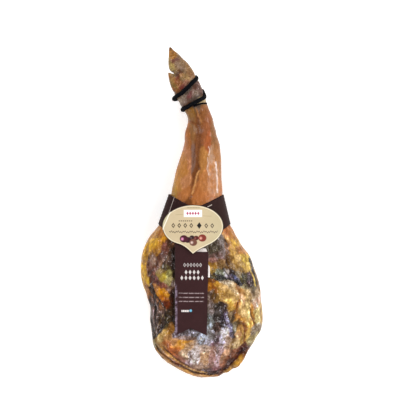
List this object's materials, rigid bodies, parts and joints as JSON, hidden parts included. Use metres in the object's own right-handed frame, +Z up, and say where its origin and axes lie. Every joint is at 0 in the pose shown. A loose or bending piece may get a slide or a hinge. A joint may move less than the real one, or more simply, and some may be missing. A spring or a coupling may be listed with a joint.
{
  "type": "cured shoulder ham",
  "caption": "Whole cured shoulder of ham on the bone with its trotter, lying on its back, with a hanging cord round the leg and a card band, medallion and strip at the neck.",
  "frame": {"origin": "on the surface the ham lies on, under the middle of the whole object", "axes": "+Y from the meat end to the hoof, +X to the right seen from above, +Z up from the surface"},
  "size_m": [0.2496, 0.678, 0.1049],
  "materials": {
    "ham": "satin",
    "cord": "matte",
    "brown_card": "satin",
    "cream_card": "satin",
    "white_paper": "matte"
  },
  "bodies": {
    "root": {"cured_shoulder": "ham", "hanging_cord": "cord", "neck_band": "brown_card", "front_strip": "brown_card", "medallion": "cream_card", "paper_slip": "white_paper"}
  },
  "joints": []
}
